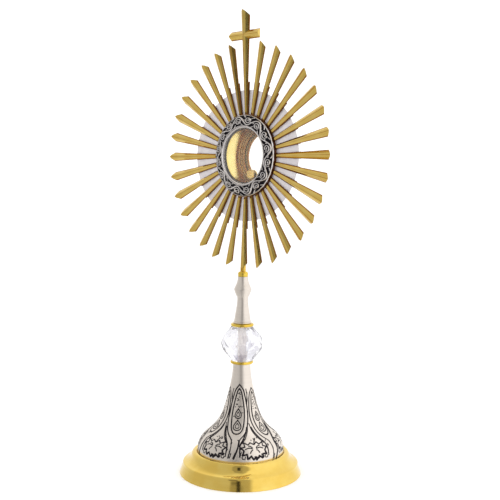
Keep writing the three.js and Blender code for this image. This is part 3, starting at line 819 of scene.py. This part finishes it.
def rear_star():
    back, front = -high("rear_ray_star").y, -low("rear_ray_star").y
    rim = 61.8
    hub = oblong(PLATE_BORE, rim, back, front)
    # The hub ring is all in the dark brown painted shade.
    obj = turned("star_hub", hub, painted_shade_brown, ROUND, 0.4, sun_matrix())
    stand_in(obj, "root", "gold_brass", "rear_ray_star")
    outline = [(-3.05, 58.8), (3.05, 58.8), (5.15, 109.9), (-5.15, 109.9)]
    verts, faces = slab(outline, back, RAY_BACK - 0.3, 0.3)
    for k in range(RAY_COUNT):
        arm = make_object(f"star_arm_{k:02d}", verts, faces, [arm_shade_gold, painted_shade_brown],
                          sun_matrix(k * RAY_STEP), 32)
        # The side faces of each arm take the dark brown painted shade.
        for face in arm.data.polygons:
            if abs(face.normal.z) < 0.5:
                face.material_index = 1
        stand_in(arm, "root", "gold_brass", "rear_ray_star")


def oval_plate():
    count = 192
    lo, hi = low("backing_plate"), high("backing_plate")
    cx, a, b = (lo.x + hi.x) / 2, (hi.x - lo.x) / 2, (hi.z - lo.z) / 2
    back, front, rim = -hi.y, -lo.y, 0.3
    angles = np.linspace(0, 2 * math.pi, count, endpoint=False)
    rings = []
    for grow, n in ((-rim, back), (0, back + rim), (0, front - rim), (-rim, front)):
        rings.append([(cx + (a + grow) * math.cos(t), (b + grow) * math.sin(t), n) for t in angles])
    for n in (front, back):
        rings.append([(PLATE_BORE * math.cos(t), PLATE_BORE * math.sin(t), n) for t in angles])
    verts = [p for ring in rings for p in ring]
    obj = make_object("oval_plate", verts, ring_faces(len(rings), count), plate_silver, sun_matrix(), 40)
    stand_in(obj, "root", "plate_silver", "backing_plate")


def vine_relief(u, v, period):
    """Height 0..1 of the cast vine over one period: a winding stem with a curl in each bend."""
    height = np.zeros_like(u)

    def raise_along(points, width, top=1.0):
        nonlocal height
        near = np.min([line_distance(u - shift, v, points) for shift in (-period, 0, period)], 0)
        height = np.maximum(height, top * np.sqrt(np.clip(1 - (near / width) ** 2, 0, 1)))

    swing = 5.9
    stem = [(x, swing * math.sin(2 * math.pi * x / period)) for x in np.linspace(-2, period + 2, 60)]
    raise_along(stem, 1.1)
    for index, side in enumerate((1, -1)):
        cx = period * (0.25 + 0.5 * index)
        cy = -side * 1.3
        curl = []
        for t in np.linspace(0, 1, 30):
            a = side * (math.radians(215) - t * math.radians(400))
            r = 5.0 - 2.6 * t ** 1.4
            curl.append((cx + r * 1.08 * math.cos(a), cy + r * 0.90 * math.sin(a)))
        raise_along(curl, 0.9, 0.95)
        raise_along([(cx - 0.6, cy), (cx + 0.9, cy + 0.6 * side)], 0.95, 0.9)
        for dx, dy, length in ((6.6, -3.6, 2.6), (-6.8, -3.8, 2.4), (7.2, 1.2, 2.0), (-6.6, 2.6, 1.8),
                               (9.0, -5.2, 1.6), (-9.2, -5.0, 1.6)):
            x, y = cx + dx, cy + side * dy
            raise_along([(x, y), (x + 0.5 * length * np.sign(dx), y - side * 0.35 * length)], 0.85, 0.8)
    return height


def vine_bezel():
    """The cast ring: a domed field of vine relief, and turned steps down to the glass."""
    back = -high("bezel_ring").y
    outer_rim = filleted([(61.1, back), (61.1, 1.4), (60.4, 2.6), (60.0, 2.2)], 0.25)
    inner_rim = filleted([(44.9, 6.0), (44.5, 6.7), (43.8, 6.5), (43.4, 5.0), (42.9, 4.4), (42.3, 4.6),
                          (41.7, 4.0), (41.2, 1.9), (40.6, 1.5), (40.0, 0.9), (40.0, back)], 0.2)
    dome_radius = [45.0, 47.4, 51.5, 55.5, 58.8, 60.0]
    dome_rise = [6.2, 6.2, 5.8, 4.8, 3.4, 2.6]
    periods, per = 8, 120
    segments = periods * per
    outer, inner = 59.9, 45.0
    field = np.linspace(outer, inner, 50)
    mean = field.mean()
    period = 2 * math.pi * mean / periods
    u = np.repeat((np.arange(per) / per * period)[None, :], len(field), 0)
    v = np.repeat((field - mean)[:, None], per, 1)
    relief = np.tile(vine_relief(u, v, period), (1, periods))
    edge = np.clip(np.minimum(field - inner, outer - field) / 0.5, 0, 1)[:, None]
    angle = np.arange(segments) / segments * 2 * math.pi
    grid, ink = [], []

    def add_ring(radius, n, dark):
        grid.append(ring_points(radius, angle, n))
        ink.append(np.broadcast_to(dark, angle.shape))

    for r, n in outer_rim:
        add_ring(r, n, 0.0)
    for i, r in enumerate(field):
        ground = float(np.interp(r, dome_radius, dome_rise)) - 1.7
        level = ground + (1 - edge[i]) * 1.4 + relief[i] * 2.6
        add_ring(r, level, np.clip(1.0 - relief[i] * 1.5, 0, 1) * edge[i])
    for r, n in inner_rim:
        add_ring(r, n, 0.48 if r < 41.8 and n < 3.9 else 0.0)
    faces = ring_faces(len(grid), segments)
    obj = make_object("vine_bezel", np.concatenate(grid), faces, bezel_silver, sun_matrix(), 50)
    write_attribute(obj, "ink", np.concatenate(ink))
    stand_in(obj, "root", "antique_silver", "bezel_ring")


# ---- Chamber and door ----
def brown_ring(name, parts, body, node):
    """A brown ring whose turned steps take the pale case gold on their narrow rounded faces that tilt
    forward.
    """
    obj = make_object(name, *merged(*parts), [brown_gilt, case_gold], sun_matrix())
    for face in obj.data.polygons:
        if face.area < 0.28 * MM ** 2 and 0.65 < face.normal.z < 0.92:
            face.material_index = 1
    stand_in(obj, body, "brown_gilt", node)


def knuckle(bottom, top, strap_low, strap_high):
    """One barrel of the hinge between two heights, with its strap to the ring."""
    to_hinge = Matrix.Translation((HINGE_X, 0, HINGE_N)) @ UPRIGHT
    barrel = filleted(oblong(1.3, 2.4, bottom, top), 0.25)
    inner, outer = 44.5, HINGE_X - 1.4
    strap = oblong(inner, outer, bottom + 0.02, top - 0.02)
    return [moved(revolve(barrel, 32), to_hinge), slab(strap, strap_low, strap_high, 0.25)]


def case_and_window():
    place = sun_matrix()
    flange, flange_radius = -high("backing_plate").y - 0.3, 52
    case = [(CASE_INNER, CASE_BACK), (CASE_OUTER, CASE_BACK), (CASE_OUTER, flange - 1.8),
            (flange_radius, flange - 1.8), (flange_radius, flange), (CASE_OUTER, flange),
            (CASE_OUTER, -0.5), (CASE_INNER, -0.5)]
    stand_in(turned("case_shell", case, case_gold, ROUND, 0.3, place), "root", "gold_brass", "luna_case")
    keeper = oblong(41.4, PANE_RADIUS, -4.7, -2.9)
    stand_in(turned("case_retainer", keeper, case_gold, ROUND, 0.3, place), "root", "gold_brass",
             "glass_retainer")
    pane = oblong(0, PANE_RADIUS, -2.6, -0.6)
    stand_in(turned("front_pane", pane, pane_glass, ROUND, 0.3, place), "root", "clear_glass",
             "front_glass")


def rear_seat():
    """The stepped ring behind the case, with the hinge's outer knuckles and their rests."""
    outer = 48.0
    seat = [(37.7, SEAT_BACK), (outer, SEAT_BACK), (outer, SEAT_FRONT), (CASE_INNER, SEAT_FRONT),
            (43.2, SEAT_FRONT - 0.2), (42.9, SEAT_FRONT - 1.1), (41.8, SEAT_FRONT - 1.3),
            (41.5, SEAT_FRONT - 1.6), (41.5, SEAT_FRONT - 3.4), (40.8, SEAT_FRONT - 3.7),
            (40.6, SEAT_FRONT - 4.6), (39.3, SEAT_FRONT - 4.9), (39.1, SEAT_BACK + 1.4),
            (37.7, SEAT_BACK + 1.2)]
    parts = [revolve(filleted(seat, 0.3), ROUND)]
    parts += knuckle(5.3, 14.0, SEAT_BACK, SEAT_BACK + 2.4)
    parts += knuckle(-14.0, -5.3, SEAT_BACK, SEAT_BACK + 2.4)
    left, right = HINGE_X - 2.2, HINGE_X + 2.2
    for bottom, top in ((5.4, 13.9), (-13.9, -5.4)):
        rest = oblong(left, right, bottom, top)
        parts.append(slab(rest, SEAT_BACK - 1.4, SEAT_BACK + 1.05, 0.25))
    brown_ring("seat_ring", parts, "root", "door_seat")


def rear_door():
    """The glazed door in its ring, its hinge pin and its button."""
    place = sun_matrix()
    front, outer, rebate = SEAT_BACK - 0.3, 47.6, 39.9
    door = [(34.4, DOOR_BACK), (36.4, DOOR_BACK), (36.9, DOOR_BACK + 0.5), (38.0, DOOR_BACK + 0.5),
            (38.5, DOOR_BACK), (46.4, DOOR_BACK), (outer, DOOR_BACK + 1.2), (outer, front),
            (rebate, front), (rebate, REBATE_BACK), (37.7, REBATE_BACK), (37.2, REBATE_BACK - 0.7),
            (35.6, REBATE_BACK - 0.8), (34.4, REBATE_BACK - 1.4)]
    parts = [revolve(filleted(door, 0.25), ROUND)] + knuckle(-5.0, 5.0, HINGE_N - 1.4, HINGE_N + 1.4)
    brown_ring("door_ring", parts, "door", "door_frame")
    pane = oblong(0, rebate - 0.3, REBATE_BACK + 0.3, front - 0.2)
    stand_in(turned("door_pane", pane, pane_glass, ROUND, 0.3, place), "door", "clear_glass", "door_glass")
    pin = [(0, -14.0), (0.9, -14.0), (1.0, -13.8), (1.0, 13.8), (0.9, 14.0), (0, 14.0)]
    spot = place @ Matrix.Translation((HINGE_X * MM, 0, HINGE_N * MM)) @ UPRIGHT
    stand_in(make_object("door_pin", *revolve(pin, 32), steel, spot), "root", "steel", "door_hinge_pin")
    back, neck = -high("door_knob").y, -low("door_knob").y
    knob = [(0, back), (2.6, back), (3.5, back + 0.5), (3.8, back + 1.3), (3.5, back + 2.3),
            (2.6, back + 3.1), (1.8, back + 3.8), (1.8, neck - 1.2), (2.2, neck), (0, neck)]
    spot = place @ Matrix.Translation((centre("door_knob").x * MM, 0, 0))
    stand_in(turned("door_button", knob, ring_gold, ROUND_SMALL, 0.2, spot), "door", "gold_brass",
             "door_knob")


def host_clip():
    """The disc in front slides, and the disc behind it stands on the post with a bolt below."""
    rise = centre("clip_disc").z - SUN_Z
    axis = sun_matrix() @ Matrix.Translation((0, rise * MM, 0))
    plate = [(0, -26.0), (2.2, -26.0), (2.4, -25.8), (2.4, -24.4), (1.3, -24.4), (1.3, -14.0), (6.7, -14.0),
             (6.7, -12.0), (5.6, -12.0), (5.0, -12.7), (2.6, -12.7), (2.2, -12.2), (0, -12.0)]
    stand_in(turned("clip_plate", plate, clip_gold, ROUND_SMALL, 0.25, axis), "clip_jaw", "gold_brass",
             "clip_disc")
    rear = oblong(1.6, 6.7, -18.0, -16.0)
    guide = oblong(1.6, 2.6, -20.5, -17.5)
    shift = Matrix.Translation((0, rise, 0))
    stand = Matrix.Translation((0, 0, CLIP_POST_N)) @ UPRIGHT
    post = [(0, -43.2), (6, -43.2), (6, -41.4), (4.2, -40.2), (3.3, -38.2), (2.7, -34), (2.4, -31), (0, -31)]
    parts = [moved(revolve(filleted(line, fillet), ROUND_SMALL), spot)
             for line, fillet, spot in ((rear, 0.25, shift), (guide, 0.2, shift), (post, 0.2, stand))]
    base = make_object("clip_post", *merged(*parts), clip_gold, sun_matrix())
    stand_in(base, "root", "gold_brass", "clip_base")
    top = high("clip_screw").z - SUN_Z
    bottom = low("clip_screw").z - SUN_Z
    head = -46.8
    bolt = [(0, bottom + 0.5), (0.9, bottom + 0.5), (1.3, bottom), (2.2, bottom), (2.6, bottom + 0.4),
            (2.6, head), (1.3, head), (1.3, top), (0, top)]
    spot = sun_matrix() @ Matrix.Translation((0, 0, CLIP_POST_N * MM)) @ UPRIGHT
    stand_in(make_object("clip_bolt", *revolve(bolt, 32), ring_gold, spot), "root", "gold_brass",
             "clip_screw")


turned_base()
felt_disc()
engraved_bell()
knop_rings()
cut_crystal()
inner_sleeve()
turned_baluster()
turned_collar()
fork_tang()
sunburst_rays()
cross()
rear_star()
oval_plate()
vine_bezel()
case_and_window()
rear_seat()
rear_door()
host_clip()
for node in ("tie_rod", "tie_washer", "tie_nut"):
    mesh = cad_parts[node].data
    mesh.materials.clear()
    mesh.materials.append(steel)


# ---- Floor, light and camera ----
def glow_material(name, attribute):
    """Light whose strength at each place is the attribute's."""
    material = bpy.data.materials.new(name)
    material.use_nodes = True
    tree = material.node_tree
    tree.nodes.clear()
    out = tree.nodes.new("ShaderNodeOutputMaterial")
    glow = tree.nodes.new("ShaderNodeEmission")
    mark = tree.nodes.new("ShaderNodeAttribute")
    mark.attribute_name = attribute
    tree.links.new(mark.outputs["Fac"], glow.inputs["Strength"])
    tree.links.new(glow.outputs[0], out.inputs[0])
    material.cycles.emission_sampling = "NONE"
    return material


def tent_level(turn, rise):
    """Brightness of the light tent in degrees from the camera's direction, right and up positive.
    It is bright on the right and grey on the left, with a dark slot where the camera stands."""
    level = np.interp(turn, [-180, -150, -110, -60, -16, 8, 18, 26, 80, 120, 180],
                      [1.05, 0.95, 0.68, 0.64, 0.60, 0.50, 0.54, 1.10, 1.12, 1.05, 1.05])
    # Grey shade round the camera, mostly below eye height.
    middle = np.interp(rise, [-50, -36, -22, -8, 8], [-28, -21, -15, -9, -9])
    half = np.interp(rise, [-50, -36, -22, -8, 8], [11, 10, 9, 8, 8])
    shade = np.interp(rise, [-54, -46, -36, -22, -12, -4, 4, 9, 12],
                      [0.60, 0.40, 0.08, 0.17, 0.34, 0.38, 0.28, 0.20, 0.40])
    inside = np.clip((half + 1.5 - abs(turn - middle)) / 3.0, 0, 1) * np.clip((15 - rise) / 3, 0, 1)
    level = level * (1 - inside) + shade * inside
    # A grey band above eye height, and a narrow black slot across it.
    upper = np.clip((14 - abs(turn + 6)) / 3, 0, 1) * np.clip((rise - 8) / 8, 0, 1)
    upper *= np.clip((70 - rise) / 12, 0, 1)
    level = level * (1 - upper) + 0.38 * upper
    core = np.clip((4.2 - abs(turn + 2.5)) / 1.2, 0, 1)
    core *= np.clip((rise + 11) / 4, 0, 1) * np.clip((34 - rise) / 14, 0, 1)
    level = level * (1 - core) + 0.04 * core
    pole = np.clip((abs(rise) - 70) / 15, 0, 1)
    return float(level * (1 - pole) + (0.85 if rise > 0 else 0.62) * pole)


def studio():
    world = bpy.data.worlds.new("white_room")
    bpy.context.scene.world = world
    world.use_nodes = True
    world.node_tree.nodes["Background"].inputs["Color"].default_value = (1, 1, 1, 1)
    world.node_tree.nodes["Background"].inputs["Strength"].default_value = 1.30
    floor_paint = Nodes("floor_paint")
    grains = floor_paint.noise(floor_paint.place(), 3.0)
    white = floor_paint.mix(grains, (0.95, 0.95, 0.95), (0.97, 0.97, 0.97))
    floor_paint.link(white, "Base Color")
    floor_paint.bsdf.inputs["Roughness"].default_value = 0.9
    size, drop_below = 12000, -0.2
    corners = [(x * size, y * size, drop_below) for x, y in ((-1, -1), (1, -1), (1, 1), (-1, 1))]
    floor = make_object("floor", corners, [[0, 1, 2, 3]], floor_paint.material)
    floor.visible_glossy = False
    columns, rises = 360, np.linspace(-90, 90, 61)
    angles = np.linspace(-180, 180, columns, endpoint=False)
    radius, eye_height = 4.0 / MM, 450
    verts, glow = [], []
    for rise in rises:
        flat, up = math.cos(math.radians(rise)), math.sin(math.radians(rise))
        for turn in angles:
            a = CAMERA_AZIMUTH + math.radians(turn)
            verts.append((radius * flat * math.cos(a), radius * flat * math.sin(a),
                          eye_height + radius * up))
            glow.append(tent_level(turn, rise))
    faces = ring_faces(len(rises), columns, closed=False)
    tent = make_object("light_tent", verts, faces, glow_material("tent_glow", "glow"))
    write_attribute(tent, "glow", glow)
    tent.visible_camera = tent.visible_diffuse = tent.visible_shadow = False
    tent.visible_transmission = tent.visible_volume_scatter = False


def camera():
    """At the photograph's angle: right of the sunburst's front, a little down, rolled slightly."""
    heading, pitch, roll = math.radians(134.859), math.radians(4.578), math.radians(0.854)
    place = Vector((0.9353, -0.9257, 0.4481))
    side = Vector((math.sin(heading), -math.cos(heading), 0.0))
    ahead = Vector((math.cos(heading), math.sin(heading), 0.0))
    look = ahead * math.cos(pitch) + Vector((0, 0, -math.sin(pitch)))
    up = ahead * math.sin(pitch) + Vector((0, 0, math.cos(pitch)))
    right = side * math.cos(roll) + up * math.sin(roll)
    top = up * math.cos(roll) - side * math.sin(roll)
    data = bpy.data.cameras.new("camera")
    data.lens, data.sensor_width = 62.76, 36.0
    data.clip_start, data.clip_end = 0.05, 50.0
    obj = linked("camera", data)
    turn = Matrix((right, top, -look)).transposed().to_4x4()
    obj.matrix_world = Matrix.Translation(place) @ turn
    bpy.context.scene.camera = obj


studio()
camera()
bpy.context.scene.view_settings.view_transform = "Standard"
